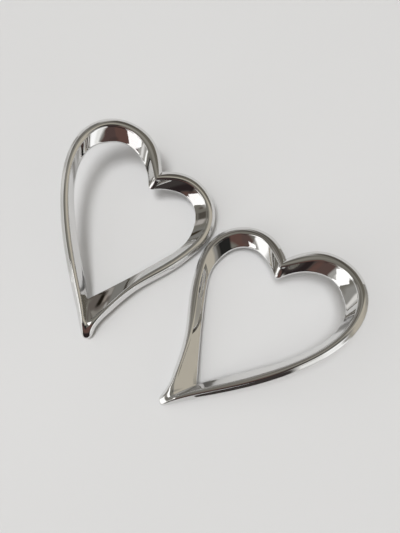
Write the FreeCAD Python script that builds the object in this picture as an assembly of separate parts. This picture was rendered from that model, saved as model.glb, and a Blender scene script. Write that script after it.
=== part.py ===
import FreeCAD, Part
import math
import os

os.makedirs("parts", exist_ok=True)

Vec = FreeCAD.Vector
UP = Vec(0, 0, 1)

# A pair of mirror-twin open-heart ear studs, lying face up and side by side.
# Every size is in millimetres. Each heart is drawn in its own frame: the pointed tip is at the
# origin, +Y runs from the tip to the lobes, +X to the long side, +Z out of the polished face.
# The back of the band lies in the plane z = 0 of that frame.

# ---- heart outline ----
heart_length = 52.9     # crown edge, from the tip to the top of the large lobe
heart_width = 39.1      # crown edge, across both lobes

# ---- band cross-section ----
wall_reach = 0.80       # how far the upright outer wall stands out beyond the crown edge
shoulder_height = 1.75  # top of the outer wall, where the shoulder slopes up to the crown
tip_reach = 0.35        # wall_reach at the very tip
tip_taper = 8.0         # distance from the tip over which the wall comes out to wall_reach
edge_height = 2.50      # crown edges above the back
crown_rise = 0.36       # how far the flat top of the crown stands above its edges
crown_flat = 0.40       # width of the flat top, as a share of the crown
lip_height = 0.70       # upright face around the opening
shell = 0.80            # metal left between the polished face and the open back channel
lip_width = 0.80        # width of the rim around the opening, seen from the back
solid_tip = 9.0         # length of the point that stays solid metal, along the heart
least_roof = 0.15       # narrowest the channel's roof gets where the bevel leaves little room
channel_sections = 8    # cross-sections that shape the back channel on each side

# ---- ear post and the plate it stands on ----
post_radius = 0.40
post_reach = 9.6        # from the back of the band to the free end of the post
post_bevel = 0.20       # bevel round the free end
groove_from_end = 1.9   # middle of the friction groove, from the free end
groove_width = 0.7
groove_depth = 0.06
plate_length = 5.10     # post plate, across the band from rim to rim
plate_width = 3.60
plate_thickness = 0.45
collar_radius = 0.85
collar_height = 0.40
socket_gap = 0.02       # solder line round the post
socket_depth = 0.60
post_place = 0.38       # where the post stands across the band, as a share from the outer wall

# ---- butterfly clutch ----
clutch_offset = 2.2     # from the back of the band to the face of the clutch plate
sheet = 0.30
clutch_gap = 0.05       # running clearance on the post
scroll_radius = 1.08    # outer turn, to the middle of the sheet
curl_radius = 0.60      # inner turn, to the middle of the sheet
curl_end_angle = 330.0
clutch_depth = 3.90
clutch_corner = 1.30
flare_height = 0.28     # collar punched through toward the scrolls
flare_radius = 0.75
lead_in = 0.12          # funnel on the plate's face that guides the post in

# ---- how the pair lies ----
left_heading = -21.4    # turn of the tip-to-lobe direction from +Y, degrees
right_heading = -44.2
tip_bearing = 141.2     # direction from the right tip to the left tip, degrees from +X
pair_gap = 0.50         # clearance between the two bands at their nearest

# One row per cross-section of the band: crown outer edge, crown inner edge and opening edge,
# each as (x, y) in the heart's frame. The long side runs from the notch to the tip.
long_side = [
    ((-0.80, 44.30), (-0.40, 42.45), (0.20, 39.85)),
    ((0.85, 47.45), (1.90, 45.75), (2.75, 44.45)),
    ((3.80, 50.90), (4.85, 49.15), (6.25, 47.35)),
    ((12.55, 52.70), (12.25, 50.95), (11.80, 48.10)),
    ((17.30, 50.30), (16.15, 49.00), (14.40, 46.75)),
    ((19.95, 46.45), (18.45, 45.65), (16.80, 44.65)),
    ((20.25, 35.80), (18.95, 36.05), (17.95, 36.30)),
    ((17.45, 27.75), (16.20, 28.25), (15.30, 28.70)),
    ((8.70, 12.65), (7.55, 13.25), (6.30, 13.85)),
    ((2.40, 3.10), (2.75, 5.85), (3.50, 9.35)),
    ((1.10, 0.90), (2.10, 4.75), (3.40, 9.10)),
    ((-0.05, -0.05), (1.30, 3.70), (3.24, 8.88)),
    ((-0.30, 0.00), (1.20, 3.60), (3.20, 8.80)),
]

# The short side runs over the small lobe and down the S-shaped flank, from the notch to the tip.
short_side = [
    ((-0.80, 44.30), (-0.40, 42.45), (0.20, 39.85)),
    ((-2.40, 45.30), (-2.15, 43.35), (-1.75, 41.15)),
    ((-5.95, 46.60), (-6.05, 44.80), (-6.15, 42.55)),
    ((-10.00, 46.60), (-9.65, 44.85), (-9.30, 42.45)),
    ((-16.75, 41.85), (-15.30, 40.90), (-13.25, 39.20)),
    ((-18.00, 34.25), (-16.30, 34.40), (-14.20, 34.15)),
    ((-16.20, 29.55), (-14.65, 30.10), (-13.45, 30.60)),
    ((-12.30, 23.20), (-10.95, 24.25), (-9.80, 24.85)),
    ((-6.35, 15.65), (-5.30, 16.40), (-4.15, 17.55)),
    ((-1.90, 6.95), (-1.15, 7.85), (1.40, 10.85)),
    ((-0.85, 1.90), (0.65, 4.50), (2.95, 9.10)),
    ((-0.50, 0.15), (1.10, 3.70), (3.15, 8.87)),
    ((-0.30, 0.00), (1.20, 3.60), (3.20, 8.80)),
]

def drawn_size():
    """Width and length that the section tables are drawn at, across the crown edges."""
    curves = []
    for side in (long_side, short_side):
        edge = [Vec(row[0][0], row[0][1], 0) for row in side]
        curves.append(rail(edge, run_lengths(edge)).toShape())
    box = Part.Compound(curves).optimalBoundingBox(False)
    return box.XLength, box.YMax


def sized(pair):
    """A drawn plan point at the heart's own length and width."""
    return Vec(pair[0] * heart_width / DRAWN_WIDTH, pair[1] * heart_length / DRAWN_LENGTH, 0)


def sized_rows(side):
    """The section table of one side as vectors."""
    return [tuple(sized(pair) for pair in row) for row in side]


def run_lengths(points):
    """Distance travelled along the points, ending at 1."""
    steps = [0.0]
    for before, after in zip(points[:-1], points[1:]):
        steps.append(steps[-1] + before.distanceToPoint(after))
    return [step / steps[-1] for step in steps]


def rail(points, stations):
    """Smooth curve through one point of every section."""
    curve = Part.BSplineCurve()
    curve.interpolate(Points=points, Parameters=stations)
    return curve


DRAWN_WIDTH, DRAWN_LENGTH = drawn_size()


def strip(first, second):
    """Surface ruled straight across from one rail to the next; the rails share their knots."""
    surface = Part.BSplineSurface()
    surface.buildFromPolesMultsKnots(
        [first.getPoles(), second.getPoles()], [2, 2], first.getMultiplicities(),
        [0.0, 1.0], first.getKnots(), False, False, 1, first.Degree)
    return surface.toShape()


def lifted(point, height):
    return Vec(point.x, point.y, height)


def outward_normals(curve, stations, inner_points):
    """Unit plan directions square to the crown edge and pointing away from the opening."""
    normals = []
    for station, inner in zip(stations, inner_points):
        along = curve.tangent(station)[0]
        normal = Vec(-along.y, along.x, 0).normalize()
        toward = inner - curve.value(station)
        normals.append(normal if normal.dot(toward) < 0 else normal * -1)
    return normals


def notch_foot():
    """Where the leaning walls of the two lobes meet in the notch, at the back."""
    corner = sized(long_side[0][0])
    normals = []
    for side in (long_side, short_side):
        rows = sized_rows(side)
        along = (rows[1][0] - corner).normalize()
        normal = Vec(-along.y, along.x, 0)
        normals.append(normal if normal.dot(rows[1][2] - corner) < 0 else normal * -1)
    first, second = normals
    cross = first.x * second.y - first.y * second.x
    return corner + Vec(second.y - first.y, first.x - second.x, 0) * (wall_reach / cross)


def reach_at(row):
    """How far the outer wall stands out at one section: less toward the tip."""
    share = min(max(row[0].y, 0) / tip_taper, 1)
    return tip_reach + (wall_reach - tip_reach) * share


def foot_points(side):
    """Plan points of the outer wall where it meets the back."""
    rows = sized_rows(side)
    stations = run_lengths([row[0] for row in rows])
    curve = rail([row[0] for row in rows], stations)
    normals = outward_normals(curve, stations, [row[2] for row in rows])
    feet = [row[0] + normal * reach_at(row) for row, normal in zip(rows, normals)]
    feet[0] = notch_foot()
    last = rows[-1]
    feet[-1] = last[0] + (last[0] - last[2]).normalize() * tip_reach
    return feet


def side_rails(side):
    """The rails of one side, from the foot of the outer wall over the crown to the opening."""
    rows = sized_rows(side)
    feet = foot_points(side)
    stations = run_lengths([row[0] for row in rows])
    slope = (1 - crown_flat) / 2
    top = edge_height + crown_rise
    plan = {
        "foot": (feet, 0),
        "shoulder": (feet, shoulder_height),
        "edge": ([row[0] for row in rows], edge_height),
        "outer_top": ([row[0] + (row[1] - row[0]) * slope for row in rows], top),
        "inner_top": ([row[1] + (row[0] - row[1]) * slope for row in rows], top),
        "inner": ([row[1] for row in rows], edge_height),
        "lip": ([row[2] for row in rows], lip_height),
        "opening": ([row[2] for row in rows], 0),
    }
    rails = {}
    for name, (points, height) in plan.items():
        rails[name] = rail([lifted(point, height) for point in points], stations)
    return rails


def back_face(sides):
    """Flat back of the band, between the foot and the opening."""
    outer = Part.Wire([sides[0]["foot"].toShape(), sides[1]["foot"].toShape()])
    inner = Part.Wire([sides[0]["opening"].toShape(), sides[1]["opening"].toShape()])
    return Part.Face(Part.Plane(Vec(0, 0, 0), UP), outer).cut(
        Part.Face(Part.Plane(Vec(0, 0, 0), UP), inner)).Faces[0]


def closed_solid(faces):
    """One solid from faces that meet edge to edge."""
    shell_shape = Part.makeShell(faces)
    shell_shape.sewShape(1e-4)
    solid = Part.Solid(shell_shape)
    if solid.Volume < 0:
        solid.reverse()
    return solid


def polished_body(sides):
    """The band before it is hollowed: both sides meet in mitres at the notch and the tip."""
    faces = [back_face(sides)]
    for rails in sides:
        around = list(rails.values())
        for first, second in zip(around[:-1], around[1:]):
            faces.append(strip(first, second))
    return closed_solid(faces)


def flat_point(rails, name, station):
    """Plan point of one rail at a station."""
    return lifted(rails[name].value(station), 0)


def station_near_tip(rails):
    """Station of the crown edge at which the solid point of the heart begins."""
    low = 0.5
    high = 1.0
    for _ in range(30):
        middle = (low + high) / 2
        if rails["edge"].value(middle).y > solid_tip:
            low = middle
        else:
            high = middle
    return low


def core_section(rails, station, wall_share):
    """Corner points of the open back channel at one station, all in one upright plane."""
    edge = flat_point(rails, "edge", station)
    opening = flat_point(rails, "opening", station)
    inward = (opening - edge).normalize()
    wall = (flat_point(rails, "foot", station) - edge).Length
    base = edge - inward * wall
    span = (opening - base).Length
    flat_end = wall + (flat_point(rails, "inner", station) - edge).Length
    roof = edge_height - shell
    run = span - flat_end
    drop = edge_height - lip_height
    side_thick = shell * wall_share
    bevel_thick = shell * wall_share * math.hypot(run, drop) / drop
    inner_roof = flat_end + run * shell / drop - bevel_thick
    outer_roof = min(side_thick, inner_roof - least_roof)
    rim = span - lip_width * wall_share
    corners = []
    for reach, height in ((side_thick, -shell), (outer_roof, roof), (inner_roof, roof), (rim, -shell)):
        corners.append(lifted(base + inward * reach, height))
    return corners


def channel(sides):
    """The hollow of the band, open at the back; the long tip stays solid."""
    faces = []
    notch_reach = (notch_foot() - sized(long_side[0][0])).Length
    for rails in sides:
        end = station_near_tip(rails)
        stations = [step / channel_sections for step in range(channel_sections + 1)]
        sections = []
        for station in stations:
            share = notch_reach / wall_reach if station == 0 else 1.0
            sections.append(core_section(rails, station * end, share))
        corners = [rail([section[corner] for section in sections], stations) for corner in range(4)]
        for first, second in zip(corners, corners[1:] + corners[:1]):
            faces.append(strip(first, second))
        last = sections[-1]
        faces.append(Part.Face(Part.makePolygon(last + [last[0]])))
    return closed_solid(faces)


def heart_frame():
    """Mitred open heart with a flat-topped crown, a sloping inner bevel and a hollow back."""
    sides = [side_rails(long_side), side_rails(short_side)]
    frame = polished_body(sides).cut(channel(sides))
    return frame.Solids[0]


def top_section():
    """Foot and opening edge of the band at the top of the large lobe, as plan points."""
    rails = side_rails(long_side)
    stations = [step / 400 for step in range(401)]
    top = max(stations, key=lambda station: rails["edge"].value(station).y)
    return flat_point(rails, "foot", top), flat_point(rails, "opening", top)


def post_foot():
    """Where the post's axis leaves the back, at the top of the large lobe."""
    foot, opening = top_section()
    return foot + (opening - foot) * post_place


def turned(profile_points):
    """Solid turned from an (r, z) outline round the Z axis."""
    points = [Vec(r, 0, z) for r, z in profile_points]
    face = Part.Face(Part.makePolygon(points + [points[0]]))
    return face.revolve(Vec(0, 0, 0), UP, 360).Solids[0]


def post_plate(axis_foot):
    """Oblong plate soldered over the open channel, with a socketed collar for the post."""
    foot_edge, opening = top_section()
    inward = (opening - foot_edge).normalize()
    middle = (foot_edge + opening) * 0.5
    blank = Part.makeBox(plate_length, plate_width, plate_thickness,
                         Vec(-plate_length / 2, -plate_width / 2, -plate_thickness))
    upright = [edge for edge in blank.Edges if edge.BoundBox.ZLength > plate_thickness / 2]
    blank = blank.makeFillet(plate_width * 0.45, upright)
    blank.rotate(Vec(0, 0, 0), UP, math.degrees(math.atan2(inward.y, inward.x)))
    blank.translate(middle)
    foot = -plate_thickness - collar_height
    collar = Part.makeCylinder(collar_radius, collar_height, axis_foot + Vec(0, 0, foot), UP)
    plate = blank.fuse(collar).removeSplitter()
    socket = Part.makeCylinder(post_radius + socket_gap, socket_depth,
                               axis_foot + Vec(0, 0, foot), UP)
    return plate.cut(socket).Solids[0]


def ear_post(axis_foot):
    """Straight wire with a friction groove and a bevelled free end."""
    top = -plate_thickness - collar_height + socket_depth
    end = -post_reach
    groove = end + groove_from_end
    half = groove_width / 2
    post = turned([
        (0, top), (post_radius, top), (post_radius, groove + half),
        (post_radius - groove_depth, groove), (post_radius, groove - half),
        (post_radius, end + post_bevel), (post_radius - post_bevel, end), (0, end)])
    post.translate(axis_foot)
    return post


def arc_points(centre, radius, start, end):
    """Start, middle and end of an arc in the XZ plane; angles in degrees from +X."""
    points = []
    for angle in (start, (start + end) / 2, end):
        turn = math.radians(angle)
        points.append(Vec(centre[0] + radius * math.cos(turn), 0, centre[1] + radius * math.sin(turn)))
    return points


def scroll_section(hand):
    """Outline of half the clutch strip: half the plate, one outer turn and the inner curl."""
    half = sheet / 2
    reach = post_radius + clutch_gap + half
    outer = (reach + scroll_radius, scroll_radius)
    inner = (reach + curl_radius, scroll_radius)
    faces = []
    corners = [Vec(0, 0, -half), Vec(outer[0], 0, -half), Vec(outer[0], 0, half), Vec(0, 0, half)]
    faces.append(Part.Face(Part.makePolygon(corners + [corners[0]])))
    for centre, radius, start, end in ((outer, scroll_radius, -90.0, 180.0),
                                       (inner, curl_radius, 180.0, curl_end_angle)):
        far = arc_points(centre, radius + half, start, end)
        near = arc_points(centre, radius - half, start, end)
        edges = [Part.Arc(*far).toShape(), Part.makeLine(far[2], near[2]),
                 Part.Arc(*near).toShape(), Part.makeLine(near[0], far[0])]
        faces.append(Part.Face(Part.Wire(Part.__sortEdges__(edges))))
    strip = faces[0].fuse(faces[1:]).removeSplitter()
    if hand < 0:
        strip = strip.mirror(Vec(0, 0, 0), Vec(1, 0, 0))
    return strip


def butterfly_clutch():
    """Scroll clutch: pierced plate with a flared hole and two curled grips, plate face at z = 0."""
    strips = []
    for hand in (1, -1):
        section = scroll_section(hand)
        strip = section.extrude(Vec(0, clutch_depth, 0))
        strip.translate(Vec(0, -clutch_depth / 2, 0))
        strips.append(strip)
    body = strips[0].fuse(strips[1]).removeSplitter()
    reach = post_radius + clutch_gap + sheet / 2 + 2 * scroll_radius + sheet
    blank = Part.makeBox(2 * reach, clutch_depth, 4 * scroll_radius,
                         Vec(-reach, -clutch_depth / 2, -sheet))
    corner_edges = [edge for edge in blank.Edges
                    if abs(edge.Vertexes[0].Z - edge.Vertexes[1].Z) > scroll_radius]
    body = body.common(blank.makeChamfer(clutch_corner, corner_edges))
    bore = post_radius + clutch_gap
    top = sheet / 2 + flare_height
    flare = turned([(0, 0), (flare_radius, 0), (flare_radius, sheet / 2), (bore + 0.15, top), (0, top)])
    funnel = Part.makeCone(bore + lead_in, bore, lead_in, Vec(0, 0, -sheet / 2), UP)
    drill = Part.makeCylinder(bore, sheet + top, Vec(0, 0, -sheet), UP)
    body = body.fuse(flare).cut(drill).cut(funnel)
    solid = body.Solids[0]
    solid.translate(Vec(0, 0, sheet / 2))
    return solid


def clutch_on_post(axis_foot):
    """The clutch with its plate toward the band and its scrolls toward the free end."""
    clutch = butterfly_clutch()
    clutch.rotate(Vec(0, 0, 0), Vec(1, 0, 0), 180)
    clutch.translate(axis_foot + Vec(0, 0, -clutch_offset))
    return clutch


def resting_line():
    """The two places on the short side's foot that touch the table: near the tip and on the lobe."""
    stations = run_lengths([row[0] for row in sized_rows(short_side)])
    points = rail(foot_points(short_side), stations).discretize(600)
    lobe = [point for point in points if point.y > heart_length / 2]
    point_end = [point for point in points if point.y <= heart_length / 2]
    near = points[-1]
    for _ in range(6):
        far = max(lobe, key=lambda p: math.atan2(near.x - p.x, p.y - near.y))
        near = max(point_end, key=lambda p: math.atan2(far.x - p.x, far.y - p.y))
    return near, far


def resting_tilt(axis_foot):
    """Turn about the resting line that brings the free end of the post down to the table."""
    near, far = resting_line()
    along = (far - near).normalize()
    square = Vec(along.y, -along.x, 0)
    distance = (axis_foot - near).dot(square)
    return near, along, math.atan2(post_reach, distance - post_radius + post_bevel)


def lay_down(shape, axis_foot):
    """Tip the upright-drawn earring onto its tip, small lobe and post end."""
    near, along, tilt = resting_tilt(axis_foot)
    shape.rotate(near, along, -math.degrees(tilt))
    return shape


def turned_to(shape, heading):
    """Turn about the tip to its heading on the table."""
    shape.rotate(Vec(0, 0, 0), UP, heading)
    return shape


def tip_spacing(axis_foot):
    """Move from the right tip to the left tip that leaves the pair's clearance between the bands."""
    sides = [side_rails(long_side), side_rails(short_side)]
    walls = [strip(rails["foot"], rails["shoulder"]) for rails in sides]
    shoulders = [strip(rails["shoulder"], rails["edge"]) for rails in sides]
    right = Part.Compound(walls + shoulders)
    lay_down(right, axis_foot)
    left = turned_to(right.mirror(Vec(0, 0, 0), Vec(1, 0, 0)), left_heading)
    turned_to(right, right_heading)
    bearing = math.radians(tip_bearing)
    away = Vec(math.cos(bearing), math.sin(bearing), 0)
    spacing = heart_length + heart_width
    for _ in range(60):
        gap = left.translated(away * spacing).distToShape(right)[0]
        if abs(gap - pair_gap) < 1e-4:
            break
        spacing -= gap - pair_gap
    return away * spacing


def earring_pieces():
    """The four pieces of one earring in the heart's own frame."""
    axis_foot = post_foot()
    return {
        "heart_frame": heart_frame(),
        "post_plate": post_plate(axis_foot),
        "ear_post": ear_post(axis_foot),
        "clutch": clutch_on_post(axis_foot),
    }


def centring_shift(shapes):
    """Move that puts the middle of the pair's bounding box over the origin."""
    points = Part.Compound(shapes).tessellate(0.02)[0]
    middle = [(min(point[way] for point in points) + max(point[way] for point in points)) / 2
              for way in (0, 1)]
    return Vec(-middle[0], -middle[1], 0)


def export_pair():
    """Lay both earrings down, mirror one, and write every piece to its own file."""
    axis_foot = post_foot()
    pair = {}
    for name, piece in earring_pieces().items():
        lay_down(piece, axis_foot)
        twin = piece.mirror(Vec(0, 0, 0), Vec(1, 0, 0))
        pair["right_" + name] = turned_to(piece, right_heading)
        pair["left_" + name] = turned_to(twin, left_heading)
    apart = tip_spacing(axis_foot)
    for name, piece in pair.items():
        if name.startswith("left_"):
            piece.translate(apart)
    shift = centring_shift(list(pair.values()))
    for name, piece in pair.items():
        piece.translate(shift)
        piece.exportStep("parts/" + name + ".step")


export_pair()
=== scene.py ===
import math

import bpy
import numpy as np
from mathutils import Matrix, Vector


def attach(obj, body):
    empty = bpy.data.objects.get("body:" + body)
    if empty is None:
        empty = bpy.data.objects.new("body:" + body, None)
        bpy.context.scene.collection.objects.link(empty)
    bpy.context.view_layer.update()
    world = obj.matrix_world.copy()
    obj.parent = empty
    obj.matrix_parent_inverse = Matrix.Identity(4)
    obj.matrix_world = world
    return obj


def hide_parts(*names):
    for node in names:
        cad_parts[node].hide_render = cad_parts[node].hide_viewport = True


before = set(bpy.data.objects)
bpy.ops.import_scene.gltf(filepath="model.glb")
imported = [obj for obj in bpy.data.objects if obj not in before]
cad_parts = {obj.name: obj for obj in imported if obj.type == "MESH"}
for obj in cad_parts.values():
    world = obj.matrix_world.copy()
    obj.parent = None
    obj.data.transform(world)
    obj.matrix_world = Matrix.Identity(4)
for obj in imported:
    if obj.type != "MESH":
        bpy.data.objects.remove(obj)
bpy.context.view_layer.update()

MM = 0.001

# ---- the band's sizes, in millimetres; the two reaches stay just inside the solids' ----
WALL_REACH = 0.76       # how far the outer wall stands outside the crown's edge
TIP_REACH = 0.34        # the same at the point
TIP_TAPER = 8.0         # distance from the point over which one passes into the other
SHOULDER_HEIGHT = 1.75
EDGE_HEIGHT = 2.50      # both edges of the crown
CROWN_TOP = 2.87
CROWN_FULLNESS = 2.4    # 2 is a plain arch; more is flatter on top and steeper at its edges
LIP_HEIGHT = 0.70       # where the inner bevel meets the upright lip
BEVEL_HOLLOW = 0.07     # how far the inner bevel dips between its edges
SHELL = 0.80            # metal left round the channel in the back
LIP_WIDTH = 0.80        # rim of the back round the opening
LEAST_ROOF = 0.15       # least width of the channel's roof
SOLID_TIP = 9.0         # the channel ends at this distance from the point
EDGE_ROUND = 0.10       # polished-over corners of the band
SHOULDER_ROUND = 0.30
MOST_TRIM = 0.3         # largest share of a face that one rounded corner takes
NOTCH_ROUND = 1.4       # the ridge at the notch is polished over as well
NOSE_LENGTH = 4.5       # the point is polished down over this length
NOSE_DROP = 0.46        # by this share of its height at the very end
NOSE_CURVE = 1.2        # 1 is a straight slope; more starts it gently

# ---- how finely the band is cut ----
RINGS = 230             # rings along a side, closer together where the band turns:
RING_STEP = 0.6         # this distance counts for as much
RING_TURN = 0.045       # as a turn of this many radians
NOTCH_STEP = 0.1        # or, beside the notch, this distance
NOTCH_PART = 0.04       # share of the side that lies beside the notch
CHANNEL_END = 1e-4      # share of the side between the two rings where the channel ends
WALL_POINTS = 3         # points across each face of a section
SHOULDER_POINTS = 5
CROWN_POINTS = 15
CROWN_INSET = 0.12      # angle by which the crown's half turn stops short at each edge
BEVEL_POINTS = 9
LIP_POINTS = 3
CORNER_POINTS = 4

# Crown outer edge, crown inner edge and opening edge at each section, from the notch to the tip.
LONG_SIDE = [
    ((-0.80, 44.30), (-0.40, 42.45), (0.20, 39.85)),
    ((0.85, 47.45), (1.90, 45.75), (2.75, 44.45)),
    ((3.80, 50.90), (4.85, 49.15), (6.25, 47.35)),
    ((12.55, 52.70), (12.25, 50.95), (11.80, 48.10)),
    ((17.30, 50.30), (16.15, 49.00), (14.40, 46.75)),
    ((19.95, 46.45), (18.45, 45.65), (16.80, 44.65)),
    ((20.25, 35.80), (18.95, 36.05), (17.95, 36.30)),
    ((17.45, 27.75), (16.20, 28.25), (15.30, 28.70)),
    ((8.70, 12.65), (7.55, 13.25), (6.30, 13.85)),
    ((2.40, 3.10), (2.75, 5.85), (3.50, 9.35)),
    ((1.10, 0.90), (2.10, 4.75), (3.40, 9.10)),
    ((-0.05, -0.05), (1.30, 3.70), (3.24, 8.88)),
    ((-0.30, 0.00), (1.20, 3.60), (3.20, 8.80)),
]
SHORT_SIDE = [
    ((-0.80, 44.30), (-0.40, 42.45), (0.20, 39.85)),
    ((-2.40, 45.30), (-2.15, 43.35), (-1.75, 41.15)),
    ((-5.95, 46.60), (-6.05, 44.80), (-6.15, 42.55)),
    ((-10.00, 46.60), (-9.65, 44.85), (-9.30, 42.45)),
    ((-16.75, 41.85), (-15.30, 40.90), (-13.25, 39.20)),
    ((-18.00, 34.25), (-16.30, 34.40), (-14.20, 34.15)),
    ((-16.20, 29.55), (-14.65, 30.10), (-13.45, 30.60)),
    ((-12.30, 23.20), (-10.95, 24.25), (-9.80, 24.85)),
    ((-6.35, 15.65), (-5.30, 16.40), (-4.15, 17.55)),
    ((-1.90, 6.95), (-1.15, 7.85), (1.40, 10.85)),
    ((-0.85, 1.90), (0.65, 4.50), (2.95, 9.10)),
    ((-0.50, 0.15), (1.10, 3.70), (3.15, 8.87)),
    ((-0.30, 0.00), (1.20, 3.60), (3.20, 8.80)),
]

# Where each heart lies: its tip, its turn on the floor and the tilt about its resting line.
ALONG = Vector((-0.481031, 0.876704, 0.0))
TILT = math.radians(15.5572)
LEFT = {"tip": (-29.9070, -19.0789, 0.2185), "heading": -21.4, "mirror": True}
RIGHT = {"tip": (-10.6595, -34.5620, 0.2185), "heading": -44.2, "mirror": False}

# ---- tones, and the lens ----
POLISHED_TINT = (0.82, 0.816, 0.808)
FINDING_TINT = (0.78, 0.775, 0.765)
DULLING = 0.93          # how much darker the metal is where it is smudged
FLOOR_COLOUR = (0.735, 0.74, 0.75)
FLOOR_HALF = 3          # half the floor's side, in metres
ROOM_COLOUR = (0.19, 0.181, 0.158)
BACKDROP = (0.80, 0.79, 0.775)
LENS = 26.0             # millimetres, for a sensor 36 mm wide


# ---- smooth rails through the sections ----
def end_slope(t, p):
    """Slope, at the first of four points, of the cubic through them."""
    slope = np.zeros(p.shape[1])
    for j in range(4):
        others = [m for m in range(4) if m != j]
        for m in others:
            product = 1 / (t[j] - t[m])
            for k in others:
                if k != m:
                    product *= (t[0] - t[k]) / (t[j] - t[k])
            slope += product * p[j]
    return slope


class Rail:
    """Cubic spline through the points, with its end slopes taken from the end points."""

    def __init__(self, points, stations):
        self.t = np.asarray(stations)
        self.p = np.asarray(points, float)
        n = len(self.t)
        h = np.diff(self.t)[:, None]
        d = np.diff(self.p, axis=0) / h
        a = np.zeros((n, n))
        b = np.zeros_like(self.p)
        a[0, 0] = a[-1, -1] = 1
        b[0] = end_slope(self.t[:4], self.p[:4])
        b[-1] = end_slope(self.t[::-1][:4], self.p[::-1][:4])
        for i in range(1, n - 1):
            a[i, i - 1] = h[i, 0]
            a[i, i] = 2 * (h[i, 0] + h[i - 1, 0])
            a[i, i + 1] = h[i - 1, 0]
            b[i] = 3 * (h[i] * d[i - 1] + h[i - 1] * d[i])
        self.m = np.linalg.solve(a, b)

    def __call__(self, u):
        i = np.clip(np.searchsorted(self.t, u, side="right") - 1, 0, len(self.t) - 2)
        h = (self.t[i + 1] - self.t[i])[:, None]
        s = (u - self.t[i])[:, None] / h
        return (self.p[i] * (2 * s**3 - 3 * s**2 + 1) + h * self.m[i] * (s**3 - 2 * s**2 + s)
                + self.p[i + 1] * (3 * s**2 - 2 * s**3) + h * self.m[i + 1] * (s**3 - s**2))

    def slope(self, u):
        """Direction of the rail; its length has no meaning."""
        step = 1e-5
        return (self(np.clip(u + step, 0, 1)) - self(np.clip(u - step, 0, 1))) / step


def stations_of(points):
    run = np.r_[0, np.cumsum(np.linalg.norm(np.diff(points, axis=0), axis=1))]
    return run / run[-1]


def unit(v):
    return v / np.linalg.norm(v, axis=-1, keepdims=True)


def square_out(along, toward_opening):
    """Plan direction square to the crown edge, away from the opening."""
    normal = unit(np.stack([-along[..., 1], along[..., 0]], -1))
    return -normal * np.sign((normal * toward_opening).sum(-1, keepdims=True))


def notch_foot(long_rows, short_rows):
    """Where the outer walls of the two sides meet at the notch."""
    corner = long_rows[0, 0]
    n1, n2 = [square_out(unit(rows[1, 0] - corner), rows[1, 2] - corner)
              for rows in (long_rows, short_rows)]
    cross = n1[0] * n2[1] - n1[1] * n2[0]
    return corner + np.array([n2[1] - n1[1], n1[0] - n2[0]]) * WALL_REACH / cross


def side_rails(rows, notch):
    stations = stations_of(rows[:, 0])
    edge = Rail(rows[:, 0], stations)
    out = square_out(edge.slope(stations), rows[:, 2] - rows[:, 0])
    share = np.clip(rows[:, 0, 1:] / TIP_TAPER, 0, 1)
    feet = rows[:, 0] + out * (TIP_REACH + (WALL_REACH - TIP_REACH) * share)
    feet[0] = notch
    feet[-1] = rows[-1, 0] + unit(rows[-1, 0] - rows[-1, 2]) * TIP_REACH
    return {"foot": Rail(feet, stations), "edge": edge,
            "inner": Rail(rows[:, 1], stations), "opening": Rail(rows[:, 2], stations)}


# ---- cross-sections of the band: arrays of section, point and coordinate ----
def raised(plan, height):
    return np.concatenate([plan, np.full((len(plan), 1), float(height))], 1)


def bend(a, b, c, t):
    """Points of the curves from a to c that lean toward b; t holds one row of values a section."""
    t = t[..., None]
    return a[:, None] * (1 - t)**2 + 2 * b[:, None] * t * (1 - t) + c[:, None] * t**2


def face_run(a, b, count, trim_start, trim_end, hollow=0.0):
    """One face of the section, stopping short of its corners by the size of their rounding."""
    length = np.linalg.norm(b - a, axis=1)
    start = np.clip(trim_start / length, 0, MOST_TRIM)[:, None]
    end = 1 - np.clip(trim_end / length, 0, MOST_TRIM)[:, None]
    middle = (a + b) / 2 - np.array([0, 0, 2 * hollow])
    return bend(a, middle, b, start + (end - start) * np.linspace(0, 1, count)[None])


def crown_run(edge, inner):
    """The rounded crown, a little short of its edges."""
    t = 0.5 - 0.5 * np.cos(np.linspace(CROWN_INSET, np.pi - CROWN_INSET, CROWN_POINTS))
    run = edge[:, None] + (inner - edge)[:, None] * t[None, :, None]
    run[:, :, 2] += (CROWN_TOP - EDGE_HEIGHT) * (1 - np.abs(2 * t - 1) ** CROWN_FULLNESS)
    return run


def corner_run(before, corner, after):
    """The rounding between two faces, without its end points."""
    t = np.linspace(0, 1, CORNER_POINTS + 2)[None, 1:-1]
    return bend(before[:, -1], corner, after[:, 0], np.repeat(t, len(corner), 0))


def back_run(foot, edge, inner, opening, hollowed, stretch):
    """The back of the band: the rim round the opening, the open channel and the outer rim."""
    inward = unit(opening - edge)
    wall = np.linalg.norm(foot - edge, axis=1)
    base = edge - inward * wall[:, None]
    span = np.linalg.norm(opening - base, axis=1)
    flat_end = wall + np.linalg.norm(inner - edge, axis=1)
    roof = EDGE_HEIGHT - SHELL
    run = span - flat_end
    drop = EDGE_HEIGHT - LIP_HEIGHT
    shell = SHELL * stretch
    thick = shell * np.hypot(run, drop) / drop
    inner_roof = flat_end + run * SHELL / drop - thick
    outer_roof = np.minimum(shell, inner_roof - LEAST_ROOF)
    rim = span - LIP_WIDTH * stretch
    # each slanting side of the channel is met by the flat back where it crosses it
    near = shell + (outer_roof - shell) * SHELL / (SHELL + roof)
    far = rim + (inner_roof - rim) * SHELL / (SHELL + roof)
    height = roof * hollowed
    flat = np.zeros(len(height))
    corners = ((far, flat), (inner_roof, height), (outer_roof, height), (near, flat))
    return np.stack([np.concatenate([base + inward * reach[:, None], z[:, None]], 1)
                     for reach, z in corners], 1)


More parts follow.
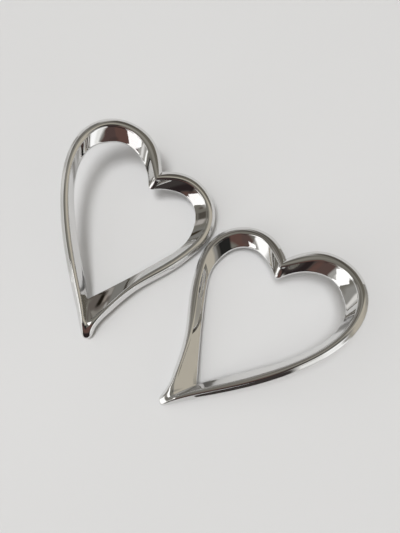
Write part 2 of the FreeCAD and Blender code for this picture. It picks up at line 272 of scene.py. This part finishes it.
def ring_stations(edge):
    """Stations that crowd together where the band turns sharply, and beside the notch."""
    u = np.linspace(0, 1, 4000)
    p = edge(u)
    step = np.linalg.norm(np.diff(p, axis=0), axis=1)
    heading = np.unwrap(np.arctan2(np.diff(p[:, 1]), np.diff(p[:, 0])))
    turn = np.abs(np.diff(heading, append=heading[-1]))
    weights = step / RING_STEP + turn / RING_TURN + (u[1:] < NOTCH_PART) * step / NOTCH_STEP
    weight = np.r_[0, np.cumsum(weights)]
    return np.interp(np.linspace(0, 1, RINGS), weight / weight[-1], u)


def side_rings(rails):
    """The sections along one side of the heart, and the number of the first point of each face."""
    u = ring_stations(rails["edge"])
    last_hollow = np.nonzero(rails["edge"](u)[:, 1] > SOLID_TIP)[0][-1]
    u = np.insert(u, last_hollow + 1, u[last_hollow] + CHANNEL_END)
    hollowed = np.arange(len(u)) <= last_hollow
    plan = {name: rail(u) for name, rail in rails.items()}
    # the section in the notch's mitre is wider than the one it stands for
    stretch = np.ones(len(u))
    stretch[0] = np.linalg.norm(plan["foot"][0] - plan["edge"][0]) / WALL_REACH
    foot = raised(plan["foot"], 0)
    shoulder = raised(plan["foot"], SHOULDER_HEIGHT)
    outer = raised(plan["edge"], EDGE_HEIGHT)
    inner = raised(plan["inner"], EDGE_HEIGHT)
    lip = raised(plan["opening"], LIP_HEIGHT)
    rim = raised(plan["opening"], 0)
    wall = face_run(foot, shoulder, WALL_POINTS, 0.0, SHOULDER_ROUND)
    slope = face_run(shoulder, outer, SHOULDER_POINTS, SHOULDER_ROUND, EDGE_ROUND)
    crown = crown_run(outer, inner)
    bevel = face_run(inner, lip, BEVEL_POINTS, EDGE_ROUND, EDGE_ROUND, BEVEL_HOLLOW)
    upright = face_run(lip, rim, LIP_POINTS, EDGE_ROUND, 0.0)
    faces = {"wall": wall, "shoulder corner": corner_run(wall, shoulder, slope), "slope": slope,
             "outer corner": corner_run(slope, outer, crown), "crown": crown,
             "inner corner": corner_run(crown, inner, bevel), "bevel": bevel,
             "lip corner": corner_run(bevel, lip, upright), "upright": upright,
             "back": back_run(**plan, hollowed=hollowed, stretch=stretch)}
    sizes = [face.shape[1] for face in faces.values()]
    return np.concatenate(list(faces.values()), 1), dict(zip(faces, np.cumsum([0] + sizes)))


def round_notch(sides, start, end):
    """Rounds the ridge between the two sides of the notch, for the given points of the section."""
    for k in range(start, end):
        corner = sides[0][0, k].copy()
        reaches = [np.linalg.norm(side[:, k] - corner, axis=1) for side in sides]
        ends = [side[np.searchsorted(reach, NOTCH_ROUND), k].copy()
                for side, reach in zip(sides, reaches)]
        for side, reach, here, there in zip(sides, reaches, ends, ends[::-1]):
            size = np.linalg.norm(here - corner)
            near = reach < size
            t = 0.5 + 0.5 * (reach[near] / size)[:, None]
            side[near, k] = there * (1 - t)**2 + 2 * corner * t * (1 - t) + here * t**2


def band_rings():
    """One heart's sections, from the notch down the long side and back up the short one.

    Given with them: where the faces start in a section, and which section is the one at the tip.
    """
    long_rows, short_rows = np.array(LONG_SIDE), np.array(SHORT_SIDE)
    notch = notch_foot(long_rows, short_rows)
    first, starts = side_rings(side_rails(long_rows, notch))
    second, _ = side_rings(side_rails(short_rows, notch))
    round_notch((first, second), starts["bevel"], starts["back"])
    rings = np.concatenate([first, second[::-1][1:-1]])
    from_tip = np.linalg.norm(rings[:, :, :2] - first[-1, 0, :2], axis=2)
    near_tip = np.clip(1 - from_tip / NOSE_LENGTH, 0, 1)
    rings[:, :, 2] *= 1 - NOSE_DROP * near_tip**NOSE_CURVE
    return rings, starts, len(first) - 1


# ---- the band as one welded mesh ----
def laid_down(rings, lay):
    """The points of a heart where it lies, in metres."""
    turn = Matrix.Rotation(-TILT, 3, ALONG)
    if lay["mirror"]:
        turn = Matrix.Diagonal((-1, 1, 1)) @ turn
    turn = Matrix.Rotation(math.radians(lay["heading"]), 3, "Z") @ turn
    return (rings.reshape(-1, 3) @ np.array(turn).T + np.array(lay["tip"])) * MM


def mark_sharp(mesh, around, starts, tip_ring):
    """Marks the wall's foot, the back's corners and the two mitres as sharp.

    The mitre is sharp outside and on top at the notch, and inside and below at the point.
    """
    crisp = {0, *range(starts["back"] - 1, around)}
    inside = starts["inner corner"]
    mitres = {0: range(inside + 1), tip_ring: range(inside + 2, around)}
    for edge in mesh.edges:
        (ring_a, k_a), (ring_b, k_b) = [divmod(vertex, around) for vertex in edge.vertices]
        mitre = mitres.get(ring_a, ()) if ring_a == ring_b else ()
        if (k_a == k_b and k_a in crisp) or (k_a in mitre and k_b in mitre):
            edge.use_edge_sharp = True


def heart_band(name, lay, rings, starts, tip_ring):
    count, around = rings.shape[:2]
    quads = []
    for ring in range(count):
        here, ahead = ring * around, (ring + 1) % count * around
        for k in range(around):
            side = (k + 1) % around
            quads.append((here + k, here + side, ahead + side, ahead + k))
    if lay["mirror"]:
        quads = [quad[::-1] for quad in quads]
    mesh = bpy.data.meshes.new(name)
    mesh.from_pydata(laid_down(rings, lay).tolist(), [], quads)
    mesh.validate()
    mesh.polygons.foreach_set("use_smooth", [True] * len(mesh.polygons))
    mark_sharp(mesh, around, starts, tip_ring)
    piece = bpy.data.objects.new(name, mesh)
    bpy.context.scene.collection.objects.link(piece)
    even = piece.modifiers.new("even_normals", "WEIGHTED_NORMAL")
    even.keep_sharp = True
    even.weight = 60
    return piece


# ---- materials ----
def new_material(name):
    material = bpy.data.materials.new(name)
    material.use_nodes = True
    tree = material.node_tree
    return material, tree, tree.nodes["Principled BSDF"]


def add(tree, kind, inputs):
    """A new node, with the values that the named inputs get."""
    node = tree.nodes.new(kind)
    for name, value in inputs.items():
        node.inputs[name].default_value = value
    return node


def bright_metal(name, tint, rough_low, rough_high, scratch, ripple):
    """White metal with a polisher's faint ripple, hairline scratches and uneven gloss."""
    material, tree, shader = new_material(name)
    link = tree.links.new
    shader.inputs["Metallic"].default_value = 1.0
    place = tree.nodes.new("ShaderNodeTexCoord").outputs["Object"]
    smudge = add(tree, "ShaderNodeTexNoise", {"Scale": 160.0, "Detail": 4.0, "Roughness": 0.6})
    link(place, smudge.inputs["Vector"])
    gloss = add(tree, "ShaderNodeMapRange", {"From Min": 0.35, "From Max": 0.75,
                                             "To Min": rough_low, "To Max": rough_high})
    link(smudge.outputs["Fac"], gloss.inputs["Value"])
    link(gloss.outputs["Result"], shader.inputs["Roughness"])
    shade = add(tree, "ShaderNodeMixRGB", {"Color1": (*tint, 1),
                                           "Color2": (*[c * DULLING for c in tint], 1)})
    link(smudge.outputs["Fac"], shade.inputs["Fac"])
    link(shade.outputs["Color"], shader.inputs["Base Color"])
    wave = add(tree, "ShaderNodeTexNoise", {"Scale": 95.0, "Detail": 1.0})
    link(place, wave.inputs["Vector"])
    stretch = add(tree, "ShaderNodeMapping", {"Scale": (260.0, 5200.0, 2600.0),
                                              "Rotation": (0.3, 0.2, 0.7)})
    link(place, stretch.inputs["Vector"])
    hair = add(tree, "ShaderNodeTexNoise", {"Scale": 1.0, "Detail": 3.0})
    link(stretch.outputs["Vector"], hair.inputs["Vector"])
    soft = add(tree, "ShaderNodeBump", {"Strength": ripple, "Distance": 0.00012})
    link(wave.outputs["Fac"], soft.inputs["Height"])
    fine = add(tree, "ShaderNodeBump", {"Strength": scratch, "Distance": 0.00001})
    link(hair.outputs["Fac"], fine.inputs["Height"])
    link(soft.outputs["Normal"], fine.inputs["Normal"])
    link(fine.outputs["Normal"], shader.inputs["Normal"])
    return material


def pale_floor():
    material, tree, shader = new_material("pale_floor")
    link = tree.links.new
    shader.inputs["Base Color"].default_value = (*FLOOR_COLOUR, 1)
    shader.inputs["Roughness"].default_value = 0.55
    place = tree.nodes.new("ShaderNodeTexCoord").outputs["Object"]
    weave = add(tree, "ShaderNodeTexNoise", {"Scale": 1500.0, "Detail": 2.0})
    link(place, weave.inputs["Vector"])
    bump = add(tree, "ShaderNodeBump", {"Strength": 0.15, "Distance": 0.00005})
    link(weave.outputs["Fac"], bump.inputs["Height"])
    link(bump.outputs["Normal"], shader.inputs["Normal"])
    return material


polished = bright_metal("polished_metal", POLISHED_TINT, rough_low=0.02, rough_high=0.06,
                        scratch=0.10, ripple=0.06)
finding = bright_metal("finding_metal", FINDING_TINT, rough_low=0.08, rough_high=0.16,
                       scratch=0.25, ripple=0.05)

heart = band_rings()
for side, lay in (("left", LEFT), ("right", RIGHT)):
    band = heart_band(side + "_heart_band", lay, *heart)
    band.data.materials.append(polished)
    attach(band, side + "_earring")
    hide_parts(side + "_heart_frame")
    for piece in ("post_plate", "ear_post", "clutch"):
        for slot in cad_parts[side + "_" + piece].material_slots:
            slot.material = finding

# ---- floor ----
floor_mesh = bpy.data.meshes.new("floor")
floor_mesh.from_pydata([(x * FLOOR_HALF, y * FLOOR_HALF, 0)
                        for x, y in ((-1, -1), (1, -1), (1, 1), (-1, 1))], [], [(0, 1, 2, 3)])
floor = bpy.data.objects.new("floor", floor_mesh)
floor.data.materials.append(pale_floor())
bpy.context.scene.collection.objects.link(floor)


# ---- the room that the metal mirrors ----
class Room:
    """World shader made of soft-edged panels, each placed by its bearing and its height."""

    def __init__(self, colour):
        world = bpy.data.worlds.new("studio")
        bpy.context.scene.world = world
        world.use_nodes = True
        self.tree = world.node_tree
        self.tree.nodes.clear()
        place = self.tree.nodes.new("ShaderNodeTexCoord")
        split = self.tree.nodes.new("ShaderNodeSeparateXYZ")
        self.tree.links.new(place.outputs["Generated"], split.inputs["Vector"])
        self.bearing = self.math("ARCTAN2", split.outputs["Y"], split.outputs["X"])
        self.height = self.math("ARCSINE", split.outputs["Z"])
        plain = self.tree.nodes.new("ShaderNodeRGB")
        self.colour = plain.outputs["Color"]
        self.colour.default_value = (*colour, 1)

    def math(self, operation, *values, clamp=False):
        node = self.tree.nodes.new("ShaderNodeMath")
        node.operation = operation
        node.use_clamp = clamp
        for socket, value in zip(node.inputs, values):
            if isinstance(value, float):
                socket.default_value = value
            else:
                self.tree.links.new(value, socket)
        return node.outputs[0]

    def mix(self, share, colour):
        """Lays a colour over what is there so far."""
        node = add(self.tree, "ShaderNodeMixRGB", {"Color2": (*colour, 1)})
        self.tree.links.new(self.colour, node.inputs["Color1"])
        self.tree.links.new(share, node.inputs["Fac"])
        self.colour = node.outputs["Color"]

    def within(self, off, half, soft):
        """1 where off is under half, falling to 0 across soft, half of which lies to each side."""
        left = self.math("SUBTRACT", half + soft / 2, off)
        return self.math("DIVIDE", left, soft, clamp=True)

    def panel(self, bearing, half_width, low, high, colour, soft):
        middle, half_height = math.radians((low + high) / 2), math.radians((high - low) / 2)
        soft = math.radians(soft)
        turn = self.math("SUBTRACT", self.bearing, math.radians(bearing))
        # the cosine takes care of the wrap at 180 degrees
        beside = self.math("ARCCOSINE", self.math("COSINE", turn))
        above = self.math("ABSOLUTE", self.math("SUBTRACT", self.height, middle))
        self.mix(self.math("MULTIPLY", self.within(beside, math.radians(half_width), soft),
                           self.within(above, half_height, soft)), colour)

    def finish(self, seen):
        """The camera itself sees one plain colour in place of the panels."""
        path = self.tree.nodes.new("ShaderNodeLightPath")
        self.mix(path.outputs["Is Camera Ray"], seen)
        background = self.tree.nodes.new("ShaderNodeBackground")
        out = self.tree.nodes.new("ShaderNodeOutputWorld")
        self.tree.links.new(self.colour, background.inputs["Color"])
        self.tree.links.new(background.outputs["Background"], out.inputs["Surface"])


# Each panel: the bearing of its middle and half its width, its lowest and highest angle above the
# horizon, its colour, and how softly it ends, all in degrees but the colour. Bearing 0 is to the
# right in the photograph and 90 is up. A panel covers those listed before it.
PANELS = (
    # the cloth out to the horizon, with its paler and darker parts
    (0, 181, -5, 9, (0.389, 0.38, 0.361), 6),
    (168, 26, -5, 9, (0.593, 0.589, 0.575), 5),
    (157, 8, -5, 9, (0.5, 0.495, 0.48), 5),
    (114, 8, -5, 5, (0.56, 0.55, 0.535), 4),
    (292, 6, -5, 8, (0.25, 0.24, 0.23), 4),
    # ceiling
    (0, 181, 71, 99, (0.275, 0.263, 0.23), 14),
    # warm wall to the right, and what stands before it
    (348, 24, 9, 86, (0.515, 0.476, 0.4), 10),
    (8, 8, -5, 12, (0.33, 0.315, 0.28), 5),
    (30, 17, -5, 8, (0.27, 0.26, 0.235), 5),
    (320, 9, 25, 62, (0.287, 0.278, 0.26), 8),
    (309, 10, 42, 66, (0.093, 0.088, 0.079), 6),
    # dim corner
    (40, 24, 10, 66, (0.148, 0.136, 0.111), 12),
    (75, 14, 14, 66, (0.093, 0.083, 0.072), 8),
    # slim curtain light, and the dark strip beside it
    (101, 8, -5, 34, (0.556, 0.547, 0.528), 6),
    (103, 5, 34, 48, (0.278, 0.269, 0.255), 6),
    (113, 6, 28, 56, (0.111, 0.107, 0.097), 6),
    # grey wall to the upper left, with dark gaps and small pale things
    (130, 20, 9, 42, (0.218, 0.213, 0.199), 8),
    (131, 13, 42, 66, (0.139, 0.122, 0.108), 5),
    (127, 7, 53, 57.5, (0.035, 0.03, 0.023), 2.5),
    (131, 4, 52.5, 57, (0.014, 0.011, 0.007), 2),
    (125, 6, 42, 49.5, (0.33, 0.31, 0.285), 3),
    (131.5, 3, 47.8, 51.5, (0.315, 0.278, 0.241), 2),
    (139.5, 2, 42, 57, (0.26, 0.245, 0.22), 2),
    (139, 2, 43.5, 46.6, (0.417, 0.408, 0.389), 2),
    # wall and folding screen to the left
    (165, 16, 9, 26, (0.306, 0.301, 0.283), 6),
    (143.5, 3, 28, 36, (0.042, 0.032, 0.02), 3),
    (164, 5, 36, 46, (0.463, 0.436, 0.408), 3),
    (179, 8, 36, 46, (0.088, 0.079, 0.067), 3),
    (198, 2.5, 34, 42, (0.111, 0.093, 0.079), 3),
    (162.5, 5, 3, 12, (0.78, 0.765, 0.74), 4),
    # brown screens nearest to the camera
    (265, 32, 26, 50, (0.125, 0.072, 0.061), 5),
    (228, 16, 24, 40, (0.107, 0.07, 0.062), 5),
    (263, 26, 9, 27, (0.026, 0.019, 0.019), 5),
    (264, 25, -5, 14, (0.051, 0.044, 0.042), 5),
    (286, 10, 26, 40, (0.093, 0.061, 0.056), 4),
    # black card, and a pale edge
    (291, 19, 40, 62, (0.02, 0.02, 0.019), 6),
    (306, 8, 25, 40, (0.315, 0.31, 0.297), 5),
    # second window, low
    (303, 13, 6, 25, (0.95, 0.95, 0.93), 4),
    (313, 9, -5, 15, (1.2, 1.2, 1.2), 5),
    # the window's bar, and the window seen low
    (207, 13, 21, 36, (0.4, 0.39, 0.37), 4),
    (204, 6, 26, 31.5, (0.85, 0.84, 0.82), 3),
    (206, 15, -5, 20.5, (1.3, 1.3, 1.28), 3),
)
room = Room(ROOM_COLOUR)
for panel in PANELS:
    room.panel(*panel)
room.finish(BACKDROP)


# ---- lamps ----
def soft_sun(name, bearing, height, spread, strength):
    """Sun that the metal doesn't mirror; it lights the floor. The angles are in degrees."""
    data = bpy.data.lights.new(name, "SUN")
    data.angle = math.radians(spread)
    data.energy = strength
    lamp = bpy.data.objects.new(name, data)
    b, h = math.radians(bearing), math.radians(height)
    source = Vector((math.cos(b) * math.cos(h), math.sin(b) * math.cos(h), math.sin(h)))
    lamp.rotation_euler = source.to_track_quat("Z", "Y").to_euler()
    lamp.visible_glossy = False
    bpy.context.scene.collection.objects.link(lamp)


soft_sun("key_light", bearing=180, height=77, spread=22, strength=1.45)
soft_sun("fill_light", bearing=190, height=48, spread=88, strength=1.2)

# The near window, facing down. Only the metal mirrors it.
window_data = bpy.data.lights.new("window_light", "AREA")
window_data.shape = "RECTANGLE"
window_data.size = 0.042
window_data.size_y = 0.047
window_data.energy = 0.0073
window = bpy.data.objects.new("window_light", window_data)
window.location = (-0.069, -0.0415, 0.060)
window.visible_diffuse = False
window.visible_camera = False
bpy.context.scene.collection.objects.link(window)

# ---- camera ----
camera_data = bpy.data.cameras.new("camera")
camera_data.lens = LENS
camera_data.sensor_width = 36.0
camera_data.clip_start = 0.002
camera = bpy.data.objects.new("camera", camera_data)
camera.location = (-0.00335, -0.02561, 0.09693)
aim = Matrix.Identity(3)
for angle, axis in ((-3.76, "Z"), (14.22, "X"), (3.83, "Z")):
    aim = aim @ Matrix.Rotation(math.radians(angle), 3, axis)
camera.rotation_euler = aim.to_euler()
bpy.context.scene.collection.objects.link(camera)
bpy.context.scene.camera = camera

bpy.context.scene.view_settings.view_transform = "Standard"
